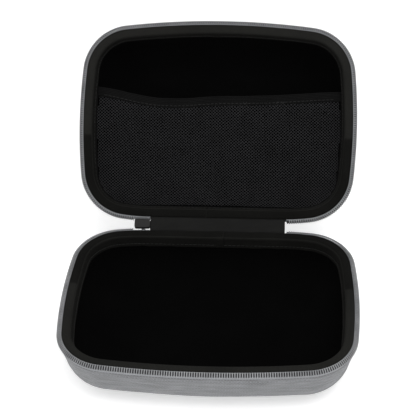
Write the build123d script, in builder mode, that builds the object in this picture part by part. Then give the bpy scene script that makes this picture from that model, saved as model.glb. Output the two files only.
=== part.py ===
from build123d import *
import os
from math import cos, radians, sin, sqrt, tan

# Moulded headphone carrying case: two zipped foam shells on a fabric hinge, with a mesh pocket in the lid.

# ---- Driving dimensions, in millimetres and degrees ----

# Plan outline at the parting plane, widest there. Its sides and front are bowed.
half_width = 100.0
half_length = 73.8
side_bow = 5.6
front_bow = 8.0
corner_radius = 35.0
hinge_flat_half = 56.0
hinge_flat_blend = 150.0

# Each moulded half, measured from the parting plane to the outside of its bottom.
half_depth = 42.0
draft = 12.0
bottom_radius = 31.0
lid_opening = 129.3

# Wall layers, as insets from the outline.
cover_inner = 0.8
foam_inner = 6.2
lining_inner = 7.0
binding_inner = 8.2

# Rim, as depths below the parting plane and insets from the outline.
shoulder_depth = 6.5
shoulder_inner = 1.8
rim_outer = 2.5
rim_top = 1.6
binding_top = 0.6
binding_bottom = 9.6
binding_round = 0.7
coil_outer, coil_inner = 1.1, 1.8
coil_top, coil_bottom = 0.25, 2.9
coil_flare = 2.2
tape_top, tape_bottom = 0.5, 5.7

# Stitching, as rings of thread laid on the fabric.
thread = 0.35
seam_depth = 8.2
binding_seam_depth = 7.6

# The zip runs from one end of the hinge strip, round the front, to the other. The coil stops at the slider.
zip_right_end = 51.0
tape_left_end = -47.1
coil_left_end = -58.9

# Hinge strip: two fabric bands between the halves, each with its inset and the depth where it leaves a half.
strip_left, strip_right = -46.7, 50.0
strip_thickness = 0.7
strip_places = {"hinge_outer_strip": (1.3, 1.6), "hinge_inner_strip": (2.1, 1.0)}
strip_foot_depth = 5.6
strip_bend = 1.2

# Mesh pocket in the lid.
mesh_depth = 10.9
mesh_thickness = 0.6
mesh_clear = 0.1
edge_tape_bottom = 12.6
hem_edge_y = -26.0
hem_sag = 5.5
hem_width = 7.6
hem_thickness = 1.2
hem_thread_setback = 1.5

# Slider, in a frame whose origin is on the hinge axis and whose +Z points out of the case.
slider_x = -52.6
slider_length = 11.2
slider_nose_half = 3.3
slider_tail_half = 3.0
outer_plate_half = 3.5
inner_plate_bottom, inner_plate_top = -2.2, -1.4
outer_plate_bottom, outer_plate_top = -0.3, 0.6
slider_corner = 1.3
post_length = 3.2
post_half = 0.9
flange_height = 0.5
flange_thickness = 0.45
bail_half_length = 3.6
bail_height = 3.5
bail_thickness = 0.9
bail_half_width = 1.0
bail_corner = 1.2

# Pull tab, hanging straight out from the bail.
pivot_z = 1.55
pivot_radius = 0.6
pull_length = 23.0
pull_root_half = 3.0
pull_tip_half = 2.4
pull_thickness = 1.5
pull_window_half = 1.5
pull_window_end = 5.4
pull_corner = 1.6
pull_hole_radius = 1.3
pull_grip_start = 8.5
pull_grip_end = 18.5
pull_grip_depth = 0.3

# ---- Worked-out places ----

corner_x = half_width - side_bow
corner_y = half_length - front_bow
back_radius = (corner_x**2 + front_bow**2) / (2 * front_bow)
side_radius = (corner_y**2 + side_bow**2) / (2 * side_bow)


def back_y(x):
    """Y of the bowed back edge at x, before its middle is cut flat for the hinge."""
    return half_length - back_radius + sqrt(back_radius**2 - x**2)


hinge_wall_y = back_y(hinge_flat_half)
opened = radians(lid_opening)
bisector = radians(lid_opening / 2)

# The halves are modelled with the parting plane at z = 0, the wall going up +Z and the hinge at +Y,
# and then set in these frames. The origin is the middle of the base's flat bottom.
base_frame = Plane(origin=(0, 0, half_depth), x_dir=(-1, 0, 0), z_dir=(0, 0, -1))
lid_frame = Plane(
    origin=(0, half_length * (1 - cos(opened)), half_depth + half_length * sin(opened)),
    x_dir=(1, 0, 0),
    z_dir=(0, sin(opened), cos(opened)),
)
slider_frame = Plane(
    origin=(slider_x, half_length, half_depth),
    x_dir=(1, 0, 0),
    z_dir=(0, cos(bisector), -sin(bisector)),
)

os.makedirs("parts", exist_ok=True)


def save(name, part):
    """Labels a finished piece and writes it."""
    part.label = name
    export_step(part, f"parts/{name}.step")


def lean(depth):
    """How far the drafted wall has come inwards at a depth."""
    return depth * tan(radians(draft))


# ---- Plan outline ----


def outline_at(inset, depth):
    """Plan outline of the surface at an inset, at a depth, with concentric arcs for every inset."""
    inwards = inset / cos(radians(draft)) + lean(depth)
    with BuildSketch() as outline:
        with Locations((0, back_radius - half_length)):
            Circle(back_radius - inwards)
        with Locations((0, half_length - back_radius)):
            Circle(back_radius - inwards, mode=Mode.INTERSECT)
        for side in PolarLocations(side_radius - half_width, 2):
            with Locations(side):
                Circle(side_radius - inwards, mode=Mode.INTERSECT)
        with Locations((0, hinge_wall_y - inwards)):
            Rectangle(
                half_width * 2,
                half_width * 2,
                align=(Align.CENTER, Align.MAX),
                mode=Mode.INTERSECT,
            )
        corners = outline.vertices().filter_by(lambda v: abs(v.X) > hinge_flat_half + corner_radius / 2)
        fillet(corners, corner_radius - inwards)
        hinge_ends = outline.vertices().filter_by(lambda v: abs(abs(v.X) - hinge_flat_half) < 1)
        fillet(hinge_ends, hinge_flat_blend - inwards)
    return outline.sketch


def prism(inset, top, bottom, flare=0):
    """Drafted solid inside the surface at an inset, between two depths. Flare moves its lower end out."""
    ends = {top: outline_at(inset, top), bottom: outline_at(inset - flare, bottom)}
    with BuildPart() as solid:
        for depth, outline in ends.items():
            with BuildSketch(Plane.XY.offset(depth)):
                add(outline)
        loft(ruled=True)
    return solid.part


def tub(inset, top):
    """Solid inside the surface at an inset, from a depth down to its rounded bottom."""
    with BuildPart() as solid:
        add(prism(inset, top, half_depth - inset))
        fillet(solid.faces().sort_by(Axis.Z)[-1].edges(), bottom_radius - inset)
    return solid.part


def band(outer, inner, top, bottom):
    """Ring between two insets and two depths."""
    with BuildPart() as ring:
        add(prism(outer, top, bottom))
        add(prism(inner, top, bottom), mode=Mode.SUBTRACT)
    return ring.part


# ---- The layers of a moulded half ----

with BuildPart() as outer_cover:
    add(tub(0, shoulder_depth))
    add(tub(cover_inner, shoulder_depth), mode=Mode.SUBTRACT)
    add(band(0, shoulder_inner, tape_bottom, shoulder_depth))

with BuildPart() as foam_shell:
    add(tub(cover_inner, shoulder_depth))
    add(prism(rim_outer, rim_top, shoulder_depth))
    add(tub(foam_inner, rim_top), mode=Mode.SUBTRACT)

with BuildPart() as lining:
    add(tub(foam_inner, rim_top))
    add(tub(lining_inner, rim_top), mode=Mode.SUBTRACT)

with BuildPart() as edge_binding:
    add(prism(rim_outer, binding_top, rim_top))
    add(prism(lining_inner, rim_top, binding_bottom))
    add(prism(binding_inner, binding_top, binding_bottom), mode=Mode.SUBTRACT)
    fillet(edge_binding.faces().sort_by(Axis.Z)[0].edges(), binding_round)

seam_thread = band(-thread, 0, seam_depth, seam_depth + thread)
binding_thread = band(binding_inner, binding_inner + thread, binding_seam_depth, binding_seam_depth + thread)
zip_tape = band(coil_inner, rim_outer, tape_top, tape_bottom)

# The coil leans in over the rim, so its outer face slopes like a chamfer.
with BuildPart() as zip_coil:
    add(prism(coil_outer, coil_top, coil_bottom, coil_flare))
    add(prism(coil_inner, coil_top, coil_bottom), mode=Mode.SUBTRACT)

whole_layers = {
    "outer_cover": outer_cover.part,
    "foam_shell": foam_shell.part,
    "lining": lining.part,
    "edge_binding": edge_binding.part,
    "seam_thread": seam_thread,
    "binding_thread": binding_thread,
}
zip_layers = {"zip_tape": (zip_tape, tape_left_end), "zip_coil": (zip_coil.part, coil_left_end)}
halves = {"base": base_frame, "lid": lid_frame}

for half, frame in halves.items():
    for layer, solid in whole_layers.items():
        save(f"{half}_{layer}", frame.location * solid)

    # The zip is open across the hinge, and its ends are not the same distance from the middle.
    facing = frame.x_dir.X
    for layer, (solid, left_end) in zip_layers.items():
        gap_centre = facing * (left_end + zip_right_end) / 2
        gap_width = zip_right_end - left_end
        with BuildPart() as zip_half:
            add(solid)
            with Locations((gap_centre, half_length, 0)):
                Box(gap_width, front_bow * 2, half_depth, mode=Mode.SUBTRACT)
        save(f"{half}_{layer}", frame.location * zip_half.part)


# ---- Hinge strip ----


def hinge_point(frame, inset, depth):
    """(Y, Z) of a point on the hinge wall of a half, at an inset and a depth."""
    place = frame.from_local_coords(Vector(0, hinge_wall_y - inset - lean(depth), depth))
    return (place.Y, place.Z)


for name, (inset, turn_depth) in strip_places.items():
    with BuildPart() as strip:
        with BuildSketch(Plane.YZ.offset(strip_left)):
            with BuildLine():
                FilletPolyline(
                    hinge_point(base_frame, inset, strip_foot_depth),
                    hinge_point(base_frame, inset, turn_depth),
                    hinge_point(lid_frame, inset, turn_depth),
                    hinge_point(lid_frame, inset, strip_foot_depth),
                    radius=strip_bend,
                )
            trace(line_width=strip_thickness)
        extrude(amount=strip_right - strip_left)
    save(name, strip.part)


# ---- Mesh pocket, in the lid's frame ----


def below_hem(setback):
    """Draws the region on the hinge's side of the hem's sagging edge, moved to the hinge by a setback."""
    edge_y = hem_edge_y + setback
    with BuildLine() as border:
        ThreePointArc((-half_width, edge_y), (0, edge_y + hem_sag), (half_width, edge_y))
        Polyline(
            (half_width, edge_y),
            (half_width, half_length),
            (-half_width, half_length),
            (-half_width, edge_y),
        )
    make_face(border.edges(), mode=Mode.INTERSECT)


def pocket_sheet(inset, depth, thickness, start, end=None):
    """Flat sheet across the lid, from one setback below the hem's edge to another or to the hinge wall."""
    outline = outline_at(inset, depth + thickness)
    with BuildPart() as sheet:
        with BuildSketch(Plane.XY.offset(depth)):
            add(outline)
            below_hem(start)
        extrude(amount=thickness)
        if end is not None:
            with BuildSketch(Plane.XY.offset(depth)):
                add(outline)
                below_hem(end)
            extrude(amount=thickness, mode=Mode.SUBTRACT)
    return sheet.part


rim_outline = outline_at(0, 0)
with BuildPart() as pocket_edge_tape:
    add(band(lining_inner, binding_inner, binding_bottom, edge_tape_bottom))
    with BuildSketch(Plane.XY.offset(binding_bottom)):
        add(rim_outline)
        below_hem(0)
    extrude(amount=edge_tape_bottom - binding_bottom, mode=Mode.INTERSECT)
save("pocket_edge_tape", lid_frame.location * pocket_edge_tape.part)

mesh_inset = binding_inner + mesh_clear
hem_depth = mesh_depth - (hem_thickness - mesh_thickness) / 2
pocket_mesh = pocket_sheet(mesh_inset, mesh_depth, mesh_thickness, hem_width)
save("pocket_mesh", lid_frame.location * pocket_mesh)

pocket_hem_band = pocket_sheet(mesh_inset, hem_depth, hem_thickness, 0, hem_width)
save("pocket_hem_band", lid_frame.location * pocket_hem_band)

hem_thread_start = hem_width - hem_thread_setback
pocket_hem_thread = pocket_sheet(
    mesh_inset, hem_depth - thread, thread, hem_thread_start, hem_thread_start + thread
)
save("pocket_hem_thread", lid_frame.location * pocket_hem_thread)


# ---- Slider and pull tab ----


def slider_plate(nose_half, tail_half, bottom, top):
    """Shield-shaped plate, wide at the nose, where the open teeth come out, and narrow at the tail."""
    with BuildPart() as plate:
        with BuildSketch(Plane.XY.offset(bottom)) as shield:
            with BuildLine():
                Polyline(
                    (-slider_length / 2, -nose_half),
                    (0, -nose_half),
                    (slider_length / 2, -tail_half),
                    (slider_length / 2, tail_half),
                    (0, nose_half),
                    (-slider_length / 2, nose_half),
                    close=True,
                )
            make_face()
            ends = shield.vertices().filter_by(lambda v: abs(v.X) > slider_length / 4)
            fillet(ends, slider_corner)
        extrude(amount=top - bottom)
    return plate.part


post_x = -slider_length / 2 + post_length / 2 + 0.6
bail_top = outer_plate_top + bail_height

with BuildPart() as zip_slider_body:
    add(slider_plate(slider_nose_half, slider_tail_half, inner_plate_bottom, inner_plate_top))
    add(slider_plate(outer_plate_half, slider_nose_half, outer_plate_bottom, outer_plate_top))

    # The post that parts the teeth joins the two plates at the nose.
    with BuildSketch(Plane.XY.offset(inner_plate_top)):
        with Locations((post_x, 0)):
            Ellipse(post_length / 2, post_half)
    extrude(amount=outer_plate_bottom - inner_plate_top)

    # Flanges along both edges of the outer plate guide the teeth.
    with BuildSketch(Plane.XY.offset(outer_plate_bottom)):
        for edge in (-1, 1):
            with Locations((-slider_length / 8, edge * (outer_plate_half - flange_thickness))):
                Rectangle(slider_length / 2, flange_thickness)
    extrude(amount=-flange_height)

    # The bail is an arch along the zip.
    with BuildSketch(Plane.XZ) as arch:
        with Locations((0, outer_plate_top)):
            Rectangle(bail_half_length * 2, bail_height, align=(Align.CENTER, Align.MIN))
        fillet(arch.vertices().group_by(Axis.Y)[-1], bail_corner)
        with Locations((0, outer_plate_top)):
            Rectangle(
                (bail_half_length - bail_thickness) * 2,
                bail_height - bail_thickness,
                align=(Align.CENTER, Align.MIN),
                mode=Mode.SUBTRACT,
            )
    extrude(amount=bail_half_width, both=True)
save("zip_slider_body", slider_frame.location * zip_slider_body.part)

with BuildPart() as zip_pull_tab:
    # Flat tab across the zip, hanging from the bar through the bail.
    with BuildSketch(Plane.YZ) as tab:
        with BuildLine():
            Polyline(
                (-pull_root_half, pivot_z),
                (pull_root_half, pivot_z),
                (pull_tip_half, pivot_z + pull_length),
                (-pull_tip_half, pivot_z + pull_length),
                close=True,
            )
        make_face()
        fillet(tab.vertices().group_by(Axis.Y)[-1], pull_corner)
        with Locations((0, pivot_z)):
            Rectangle(
                pull_window_half * 2,
                pull_window_end,
                align=(Align.CENTER, Align.MIN),
                mode=Mode.SUBTRACT,
            )
        with Locations((0, pivot_z + pull_length - pull_tip_half - pull_hole_radius / 2)):
            Circle(pull_hole_radius, mode=Mode.SUBTRACT)
    extrude(amount=pull_thickness / 2, both=True)

    # Shallow grip panel on both faces.
    grip_length = pull_grip_end - pull_grip_start
    with BuildSketch(Plane.YZ.offset(pull_thickness / 2 - pull_grip_depth)):
        with Locations((0, pivot_z + pull_grip_start + grip_length / 2)):
            RectangleRounded(pull_tip_half * 1.3, grip_length - pull_corner * 2, pull_corner / 2)
    extrude(amount=pull_grip_depth, mode=Mode.SUBTRACT)
    mirror(about=Plane.YZ, mode=Mode.INTERSECT)

    # Round bar through the bail, on which the tab turns.
    with BuildSketch(Plane.XZ.offset(-pull_root_half)):
        with Locations((0, pivot_z)):
            Circle(pivot_radius)
    extrude(amount=pull_root_half * 2)
save("zip_pull_tab", slider_frame.location * zip_pull_tab.part)
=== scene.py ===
import math

import bmesh
import bpy
import numpy as np
from mathutils import Matrix, Vector


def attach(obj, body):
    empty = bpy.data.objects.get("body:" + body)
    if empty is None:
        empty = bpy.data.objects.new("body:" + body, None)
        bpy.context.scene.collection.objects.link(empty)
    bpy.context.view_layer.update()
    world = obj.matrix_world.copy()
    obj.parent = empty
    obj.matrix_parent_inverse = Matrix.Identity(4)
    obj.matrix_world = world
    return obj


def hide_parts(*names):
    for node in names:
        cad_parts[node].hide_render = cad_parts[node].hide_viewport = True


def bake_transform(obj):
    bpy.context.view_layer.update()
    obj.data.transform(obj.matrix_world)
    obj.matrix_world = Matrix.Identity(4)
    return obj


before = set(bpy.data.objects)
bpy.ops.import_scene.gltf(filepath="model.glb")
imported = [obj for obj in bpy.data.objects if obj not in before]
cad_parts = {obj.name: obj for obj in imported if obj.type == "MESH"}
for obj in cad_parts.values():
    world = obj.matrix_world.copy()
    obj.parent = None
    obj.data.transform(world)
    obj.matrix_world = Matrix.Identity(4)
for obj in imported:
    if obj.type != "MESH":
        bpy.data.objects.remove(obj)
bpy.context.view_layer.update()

MM = 0.001

# ---------------------------------------------------------------- dimensions, in millimetres and degrees
HALF_WIDTH, HALF_LENGTH = 100.0, 73.8
SIDE_BOW, FRONT_BOW = 5.6, 8.0
CORNER = 35.0
HINGE_FLAT, HINGE_BLEND = 56.0, 150.0
DEPTH = 42.0
DRAFT = math.radians(12.0)
BOTTOM_RADIUS = 31.0
OPENING = math.radians(129.3)

COVER_IN, FOAM_IN, LINING_IN, BINDING_IN = 0.8, 6.2, 7.0, 8.2
SEAM_DEPTH, BINDING_SEAM = 8.2, 7.6
COIL_LEFT, TAPE_LEFT, ZIP_RIGHT = -58.9, -47.2, 51.0
STRIP_LEFT, STRIP_RIGHT = -46.7, 50.0
# The outer strip stops just short of the slider.
TUCK_LEFT = -46.95
LAP_X = -6.5

# ---------------------------------------------------------------- plan outline
side_r = ((HALF_LENGTH - FRONT_BOW) ** 2 + SIDE_BOW**2) / (2 * SIDE_BOW)
back_r = ((HALF_WIDTH - SIDE_BOW) ** 2 + FRONT_BOW**2) / (2 * FRONT_BOW)
hinge_y = HALF_LENGTH - back_r + math.sqrt(back_r**2 - HINGE_FLAT**2)


def meet(c1, r1, c2, r2, want):
    """Where two circles cross, on the side where want points."""
    c1, c2, want = np.array(c1, float), np.array(c2, float), np.array(want, float)
    d = np.linalg.norm(c2 - c1)
    a = (r1**2 - r2**2 + d * d) / (2 * d)
    h = math.sqrt(r1**2 - a * a)
    u = (c2 - c1) / d
    n = np.array([-u[1], u[0]])
    both = [c1 + u * a + n * h, c1 + u * a - n * h]
    return max(both, key=lambda p: float(p @ want))


def outline_arcs():
    """Arcs of the outline's left half, from the middle of the hinge side to the middle of the front."""
    left_c = (side_r - HALF_WIDTH, 0.0)
    back_c = (0.0, HALF_LENGTH - back_r)
    front_c = (0.0, back_r - HALF_LENGTH)
    hf_y = hinge_y - HINGE_BLEND
    hf_x = -math.sqrt((back_r - HINGE_BLEND) ** 2 - (hf_y - back_c[1]) ** 2)
    back_corner = meet(left_c, side_r - CORNER, back_c, back_r - CORNER, (-1, 1))
    front_corner = meet(left_c, side_r - CORNER, front_c, back_r - CORNER, (-1, -1))

    def angle(centre, point):
        return math.atan2(point[1] - centre[1], point[0] - centre[0]) % (2 * math.pi)

    turns = [
        math.pi / 2,
        angle(back_c, (hf_x, hf_y)),
        angle(back_c, back_corner),
        angle(left_c, back_corner),
        angle(left_c, front_corner),
        angle(front_c, front_corner),
        1.5 * math.pi,
    ]
    centres = [(hf_x, hf_y), back_c, tuple(back_corner), left_c, tuple(front_corner), front_c]
    radii = [HINGE_BLEND, back_r, CORNER, side_r, CORNER, back_r]
    return -hf_x, [(c, r, turns[k], turns[k + 1]) for k, (c, r) in enumerate(zip(centres, radii))]


flat_half, arcs = outline_arcs()
arc_ends = np.cumsum([flat_half] + [r * (b - a) for _, r, a, b in arcs])
HALF_ROUND = float(arc_ends[-1])
ROUND = 2 * HALF_ROUND


def outline(s):
    """Points and outward normals of the outline at arc lengths s, anticlockwise from the hinge's middle."""
    s = np.mod(np.asarray(s, float), ROUND)
    mirrored = s > HALF_ROUND
    q = np.where(mirrored, ROUND - s, s)
    p = np.stack([-q, np.full_like(q, hinge_y)], -1)
    n = np.stack([np.zeros_like(q), np.ones_like(q)], -1)
    for k, (c, r, a, _) in enumerate(arcs):
        on = q >= arc_ends[k]
        turn = a + (q - arc_ends[k]) / r
        here = np.stack([np.cos(turn), np.sin(turn)], -1)
        p = np.where(on[..., None], np.array(c) + r * here, p)
        n = np.where(on[..., None], here, n)
    flip = np.where(mirrored, -1.0, 1.0)
    return p * np.stack([flip, np.ones_like(flip)], -1), n * np.stack([flip, np.ones_like(flip)], -1)


fine_s = np.linspace(0, ROUND, 4001)
fine_p = outline(fine_s)[0]


def s_at_hinge_x(x):
    """Arc length where the outline's hinge side is at x."""
    on = (fine_p[:, 1] > 0) & ((fine_s < HALF_ROUND) if x < 0 else (fine_s > HALF_ROUND))
    xs, ss = fine_p[on, 0], fine_s[on]
    order = np.argsort(xs)
    return float(np.interp(x, xs[order], ss[order]))


def wall(inset, d):
    """Distance in plan from the outline to the surface at an inset, at depth d."""
    return inset / math.cos(DRAFT) + np.asarray(d, float) * math.tan(DRAFT)


lid_origin = (HALF_LENGTH * (1 - math.cos(OPENING)), DEPTH + HALF_LENGTH * math.sin(OPENING))


def place(half, local):
    """Points of a half, (x, y, depth) in millimetres, set in the row frame in metres."""
    x, y, d = local[..., 0], local[..., 1], local[..., 2]
    if half == "base":
        return np.stack([x, y, DEPTH - d], -1) * MM
    c, s = math.cos(OPENING), math.sin(OPENING)
    return np.stack([x, lid_origin[0] + y * c + d * s, lid_origin[1] - y * s + d * c], -1) * MM


def waves(a, b, size, seed, octaves=3):
    """Smooth random field between about -1 and 1, with features of about that size."""
    rng = np.random.default_rng(seed)
    out = np.zeros(np.broadcast(a, b).shape)
    total = 0.0
    for o in range(octaves):
        weight = 0.6**o
        for _ in range(5):
            turn = rng.uniform(0, 2 * math.pi)
            rate = 2 * math.pi / (size / 1.7**o) * rng.uniform(0.7, 1.3)
            along = a * math.cos(turn) + b * math.sin(turn)
            out = out + weight * np.sin(rate * along + rng.uniform(0, 6.28))
        total += weight * 2.2
    return out / total


def smooth(x, lo, hi):
    t = np.clip((np.asarray(x, float) - lo) / (hi - lo), 0, 1)
    return t * t * (3 - 2 * t)


# ---------------------------------------------------------------- mesh building
def make(name, verts, faces, uvs=None, sharp=50.0, closed=True):
    """An object from vertices in metres; uvs is one (u, v) in metres for each corner of each face."""
    mesh = bpy.data.meshes.new(name)
    mesh.from_pydata([tuple(v) for v in verts], [], [tuple(f) for f in faces])
    if uvs is not None:
        layer = mesh.uv_layers.new(name="cloth")
        layer.data.foreach_set("uv", np.asarray(uvs, np.float32).ravel())
    if closed:
        bm = bmesh.new()
        bm.from_mesh(mesh)
        bmesh.ops.recalc_face_normals(bm, faces=bm.faces)
        bm.to_mesh(mesh)
        bm.free()
    mesh.shade_smooth()
    if sharp:
        mesh.set_sharp_from_angle(angle=math.radians(sharp))
    obj = bpy.data.objects.new(name, mesh)
    bpy.context.scene.collection.objects.link(obj)
    return obj


def grid_faces(rows, cols, wrap_rows, wrap_cols):
    """Quads of a grid and, for each of their corners, the unwrapped row and column."""
    i, j = np.meshgrid(
        np.arange(rows if wrap_rows else rows - 1), np.arange(cols if wrap_cols else cols - 1), indexing="ij"
    )
    i, j = i.ravel(), j.ravel()
    ci = np.stack([i, i + 1, i + 1, i], -1)
    cj = np.stack([j, j, j + 1, j + 1], -1)
    return (ci % rows) * cols + (cj % cols), ci, cj


def swept(name, half, s, t, d, closed_ring=True, loop=True, floor=False, sharp=50.0, weave=True):
    """A layer swept round the outline. t and d hold, for each s and each point of the profile, the distance
    in from the outline and the depth. loop closes the profile; floor carries its ends on to the middle."""
    p, n = outline(s)
    t = np.broadcast_to(t, (len(s), np.shape(t)[-1])).astype(float)
    d = np.broadcast_to(d, t.shape).astype(float)
    local = np.concatenate([p[:, None, :] - t[..., None] * n[:, None, :], d[..., None]], -1)
    if floor:
        ends = []
        for edge in (0, -1):
            rim = local[:, edge]
            rings = [rim * [k, k, 1] for k in (0.93, 0.84, 0.72, 0.58, 0.44, 0.3, 0.16, 0.05)]
            ends.append(np.stack(rings, 1))
        local = np.concatenate([ends[0][:, ::-1], local, ends[1]], 1)
    rows, cols = local.shape[:2]
    faces, ci, cj = grid_faces(rows, cols, closed_ring, loop and not floor)
    run = np.concatenate([[0], np.cumsum(np.linalg.norm(np.diff(local[0], axis=0), axis=1))])
    run = np.append(run, run[-1] + np.linalg.norm(local[0, 0] - local[0, -1]))
    s_ext = np.append(s, s[0] + ROUND)
    uv = np.stack([s_ext[ci], run[cj]], -1)
    flat = local[ci % rows, cj % cols]
    across = np.cross(flat[:, 2] - flat[:, 0], flat[:, 3] - flat[:, 1])
    level = np.abs(across[:, 2]) > 0.62 * np.linalg.norm(across, axis=1)
    if weave:
        uv[level] = flat[level][..., :2]
    faces = [tuple(f) for f in faces]
    uvs = list(uv.reshape(-1, 2) * MM)
    verts = list(place(half, local.reshape(-1, 3)))
    if floor:
        for col in (0, cols - 1):
            centre = local[:, col].mean(0)
            verts.append(place(half, centre))
            hub = len(verts) - 1
            for k in range(rows):
                a, b = k * cols + col, ((k + 1) % rows) * cols + col
                faces.append((a, b, hub))
                for q in (local[k, col], local[(k + 1) % rows, col], centre):
                    uvs.append(q[:2] * MM)
    elif not closed_ring and loop:
        for row in (0, rows - 1):
            faces.append(tuple(row * cols + np.arange(cols)))
            uvs.extend(uv[0, 0] * MM for _ in range(cols))
    return make(name, verts, faces, uvs, sharp)


# ---------------------------------------------------------------- materials
def srgb(r, g, b):
    def one(v):
        v /= 255.0
        return v / 12.92 if v <= 0.04045 else ((v + 0.055) / 1.055) ** 2.4

    return (one(r), one(g), one(b), 1.0)


class Nodes:
    """A material's node tree, with short ways to add to it."""

    def __init__(self, name, **sockets):
        self.mat = bpy.data.materials.new(name)
        self.mat.use_nodes = True
        self.tree = self.mat.node_tree
        self.bsdf = self.tree.nodes["Principled BSDF"]
        for key, value in sockets.items():
            self.bsdf.inputs[key.replace("_", " ")].default_value = value

    def add(self, kind, **settings):
        node = self.tree.nodes.new("ShaderNode" + kind)
        for key, value in settings.items():
            setattr(node, key, value)
        return node

    def put(self, value, socket):
        if hasattr(value, "is_output"):
            self.tree.links.new(value, socket)
        elif value is not None:
            socket.default_value = value

    def math(self, operation, a, b=None, c=None, clamp=False):
        node = self.add("Math", operation=operation, use_clamp=clamp)
        for value, socket in zip((a, b, c), node.inputs):
            self.put(value, socket)
        return node.outputs[0]

    def mix(self, factor, a, b, blend="MIX"):
        node = self.add("Mix", data_type="RGBA", blend_type=blend)
        self.put(factor, node.inputs[0])
        self.put(a, node.inputs[6])
        self.put(b, node.inputs[7])
        return node.outputs[2]

    def uv(self):
        node = self.add("UVMap", uv_map="cloth")
        return node.outputs[0]

    def split(self, vector):
        node = self.add("SeparateXYZ")
        self.put(vector, node.inputs[0])
        return node.outputs

    def object_coords(self):
        return self.add("TexCoord").outputs["Object"]

    def noise(self, vector, scale, detail=2.0, roughness=0.5, stretch=None):
        if stretch:
            mapping = self.add("Mapping")
            self.put(vector, mapping.inputs[0])
            mapping.inputs["Scale"].default_value = stretch
            vector = mapping.outputs[0]
        node = self.add("TexNoise")
        self.put(vector, node.inputs["Vector"])
        node.inputs["Scale"].default_value = scale
        node.inputs["Detail"].default_value = detail
        node.inputs["Roughness"].default_value = roughness
        return node.outputs[0]

    def ramp(self, value, *stops):
        node = self.add("ValToRGB")
        self.put(value, node.inputs[0])
        elements = node.color_ramp.elements
        while len(elements) < len(stops):
            elements.new(0.5)
        for element, (place_at, colour) in zip(elements, stops):
            element.position = place_at
            element.color = colour if hasattr(colour, "__len__") else (colour, colour, colour, 1)
        return node.outputs[0]

    def bump(self, height, distance, strength=1.0, normal=None):
        node = self.add("Bump")
        self.put(height, node.inputs["Height"])
        node.inputs["Distance"].default_value = distance
        node.inputs["Strength"].default_value = strength
        if normal is not None:
            self.put(normal, node.inputs["Normal"])
        return node.outputs[0]

    def done(self, colour=None, roughness=None, normal=None):
        if colour is not None:
            self.put(colour, self.bsdf.inputs["Base Color"])
        if roughness is not None:
            self.put(roughness, self.bsdf.inputs["Roughness"])
        if normal is not None:
            self.put(normal, self.bsdf.inputs["Normal"])
        return self.mat


def weave_height(m, u, v, pitch_u, pitch_v, threads=1):
    """Height of a plain or basket weave: threads side by side run over and under groups as large."""
    a = m.math("DIVIDE", u, pitch_u * MM)
    b = m.math("DIVIDE", v, pitch_v * MM)
    warp = m.math("ABSOLUTE", m.math("SINE", m.math("MULTIPLY", a, math.pi)))
    weft = m.math("ABSOLUTE", m.math("SINE", m.math("MULTIPLY", b, math.pi)))
    ca = m.math("FLOOR", m.math("DIVIDE", a, float(threads)))
    cb = m.math("FLOOR", m.math("DIVIDE", b, float(threads)))
    over = m.math("MODULO", m.math("ABSOLUTE", m.math("ADD", ca, cb)), 2.0)
    pad_a = m.math("ABSOLUTE", m.math("SINE", m.math("MULTIPLY", a, math.pi / threads)))
    pad_b = m.math("ABSOLUTE", m.math("SINE", m.math("MULTIPLY", b, math.pi / threads)))
    warp_pad = m.math("ADD", m.math("MULTIPLY", pad_b, 0.55), 0.45)
    weft_pad = m.math("ADD", m.math("MULTIPLY", pad_a, 0.55), 0.45)
    warp_up = m.math("MULTIPLY", m.math("POWER", warp, 0.6), warp_pad)
    weft_up = m.math("MULTIPLY", m.math("POWER", weft, 0.6), weft_pad)
    height = m.math(
        "ADD", m.math("MULTIPLY", warp_up, over), m.math("MULTIPLY", weft_up, m.math("SUBTRACT", 1.0, over))
    )
    return height, over


def shell_cloth():
    m = Nodes("shell_weave", Roughness=0.62, Sheen_Weight=0.12, Sheen_Roughness=0.45)
    m.bsdf.inputs["Specular IOR Level"].default_value = 0.4
    u, v, _ = m.split(m.uv())
    height, over = weave_height(m, u, v, 0.5, 0.5, threads=2)
    coords = m.object_coords()
    tone = m.noise(coords, 28.0, 3.0)
    slub = m.noise(m.uv(), 240.0, 2.0, stretch=(0.25, 2.2, 1.0))
    base = m.mix(over, srgb(134, 135, 137), srgb(109, 110, 112))
    shade = m.mix(1.0, base, (0.3, 0.3, 0.31, 1), "MULTIPLY")
    base = m.mix(m.ramp(height, (0.2, 0.0), (0.75, 1.0)), shade, base)
    base = m.mix(m.ramp(slub, (0.35, 0.0), (0.7, 0.45)), base, srgb(156, 158, 161))
    base = m.mix(m.ramp(tone, (0.35, 0.0), (0.75, 0.3)), base, srgb(98, 100, 103))
    rough = m.ramp(height, (0.2, 0.85), (0.9, 0.55))
    fuzz = m.noise(coords, 2600.0, 2.0)
    normal = m.bump(fuzz, 0.00006, 0.5, m.bump(height, 0.0002, 1.0))
    return m.done(base, rough, normal)


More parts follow.
